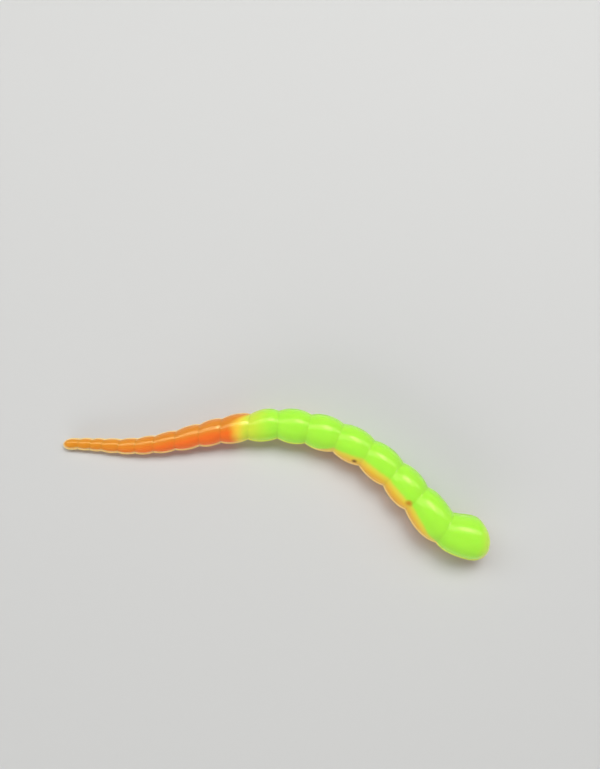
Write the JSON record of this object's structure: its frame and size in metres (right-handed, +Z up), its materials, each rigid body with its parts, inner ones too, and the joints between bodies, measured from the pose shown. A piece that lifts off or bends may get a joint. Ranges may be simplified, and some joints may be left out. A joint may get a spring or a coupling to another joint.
{
  "type": "soft plastic worm",
  "caption": "Slender ringed soft plastic fishing worm in lime and orange with a blunt nose and a thin tail, which bends sideways at every groove.",
  "frame": {"origin": "on the ground below the middle of the box round the worm as it lies", "axes": "+X along the worm towards its nose, +Y level and across it, +Z up"},
  "size_m": [0.06, 0.0212, 0.0056],
  "materials": {
    "lime_shot": "satin soft plastic",
    "blended_shot": "satin soft plastic",
    "orange_shot": "satin soft plastic, slightly translucent"
  },
  "bodies": {
    "head": {"head_back": "lime_shot", "head_belly": "orange_shot"},
    "ring_02": {"ring_02_back": "lime_shot", "ring_02_belly": "orange_shot"},
    "ring_03": {"ring_03_back": "lime_shot", "ring_03_belly": "orange_shot"},
    "ring_04": {"ring_04_back": "lime_shot", "ring_04_belly": "orange_shot"},
    "ring_05": {"ring_05_back": "lime_shot", "ring_05_belly": "orange_shot"},
    "ring_06": {"ring_06_back": "lime_shot", "ring_06_belly": "orange_shot"},
    "ring_07": {"ring_07_back": "lime_shot", "ring_07_belly": "orange_shot"},
    "ring_08": {"ring_08_back": "lime_shot", "ring_08_belly": "orange_shot"},
    "transition": {"transition_ring": "blended_shot"},
    "tail_1": {"tail_ring_1": "orange_shot"},
    "tail_2": {"tail_ring_2": "orange_shot"},
    "tail_3": {"tail_ring_3": "orange_shot"},
    "tail_4": {"tail_ring_4": "orange_shot"},
    "tail_5": {"tail_ring_5": "orange_shot"},
    "tail_6": {"tail_ring_6": "orange_shot"},
    "tail_7": {"tail_ring_7": "orange_shot"},
    "tail_8": {"tail_ring_8": "orange_shot"},
    "tail_tip": {"tail_tip": "orange_shot"}
  },
  "joints": [
    {"name": "bend_01", "type": "hinge", "parent": "head", "child": "ring_02", "pos_m": [0.02418, -0.00607, 0.0027], "axis": [0, 0, 1], "range_deg": [-15, 15], "stiffness_Nm_per_rad": 0.00081},
    {"name": "bend_02", "type": "hinge", "parent": "ring_02", "child": "ring_03", "pos_m": [0.02056, -0.00212, 0.00256], "axis": [0, 0, 1], "range_deg": [-15, 15], "stiffness_Nm_per_rad": 0.00077},
    {"name": "bend_03", "type": "hinge", "parent": "ring_03", "child": "ring_04", "pos_m": [0.01749, 0.00123, 0.00245], "axis": [0, 0, 1], "range_deg": [-15, 15], "stiffness_Nm_per_rad": 0.00063},
    {"name": "bend_04", "type": "hinge", "parent": "ring_04", "child": "ring_05", "pos_m": [0.01386, 0.00422, 0.00243], "axis": [0, 0, 1], "range_deg": [-15, 15], "stiffness_Nm_per_rad": 0.00062},
    {"name": "bend_05", "type": "hinge", "parent": "ring_05", "child": "ring_06", "pos_m": [0.00982, 0.00641, 0.00243], "axis": [0, 0, 1], "range_deg": [-15, 15], "stiffness_Nm_per_rad": 0.00063},
    {"name": "bend_06", "type": "hinge", "parent": "ring_06", "child": "ring_07", "pos_m": [0.00552, 0.00773, 0.00239], "axis": [0, 0, 1], "range_deg": [-15, 15], "stiffness_Nm_per_rad": 0.00062},
    {"name": "bend_07", "type": "hinge", "parent": "ring_07", "child": "ring_08", "pos_m": [0.00122, 0.00837, 0.00225], "axis": [0, 0, 1], "range_deg": [-15, 15], "stiffness_Nm_per_rad": 0.00051},
    {"name": "bend_08", "type": "hinge", "parent": "ring_08", "child": "transition", "pos_m": [-0.00298, 0.00812, 0.00205], "axis": [0, 0, 1], "range_deg": [-15, 15], "stiffness_Nm_per_rad": 0.00037},
    {"name": "bend_09", "type": "hinge", "parent": "transition", "child": "tail_1", "pos_m": [-0.00699, 0.00759, 0.00182], "axis": [0, 0, 1], "range_deg": [-15, 15], "stiffness_Nm_per_rad": 0.00037},
    {"name": "bend_10", "type": "hinge", "parent": "tail_1", "child": "tail_2", "pos_m": [-0.01013, 0.00698, 0.00162], "axis": [0, 0, 1], "range_deg": [-15, 15], "stiffness_Nm_per_rad": 0.00021},
    {"name": "bend_11", "type": "hinge", "parent": "tail_2", "child": "tail_3", "pos_m": [-0.01361, 0.00624, 0.00139], "axis": [0, 0, 1], "range_deg": [-15, 15], "stiffness_Nm_per_rad": 0.00013},
    {"name": "bend_12", "type": "hinge", "parent": "tail_3", "child": "tail_4", "pos_m": [-0.01671, 0.00572, 0.0012], "axis": [0, 0, 1], "range_deg": [-15, 15], "stiffness_Nm_per_rad": 0.000089},
    {"name": "bend_13", "type": "hinge", "parent": "tail_4", "child": "tail_5", "pos_m": [-0.01935, 0.00549, 0.00104], "axis": [0, 0, 1], "range_deg": [-15, 15], "stiffness_Nm_per_rad": 0.000056},
    {"name": "bend_14", "type": "hinge", "parent": "tail_5", "child": "tail_6", "pos_m": [-0.02185, 0.00549, 0.00092], "axis": [0, 0, 1], "range_deg": [-15, 15], "stiffness_Nm_per_rad": 0.000036},
    {"name": "bend_15", "type": "hinge", "parent": "tail_6", "child": "tail_7", "pos_m": [-0.02425, 0.00566, 0.00081], "axis": [0, 0, 1], "range_deg": [-15, 15], "stiffness_Nm_per_rad": 0.000031},
    {"name": "bend_16", "type": "hinge", "parent": "tail_7", "child": "tail_8", "pos_m": [-0.02599, 0.00575, 0.00075], "axis": [0, 0, 1], "range_deg": [-15, 15], "stiffness_Nm_per_rad": 0.000022},
    {"name": "bend_17", "type": "hinge", "parent": "tail_8", "child": "tail_tip", "pos_m": [-0.02779, 0.00584, 0.00069], "axis": [0, 0, 1], "range_deg": [-15, 15], "stiffness_Nm_per_rad": 0.000014}
  ]
}
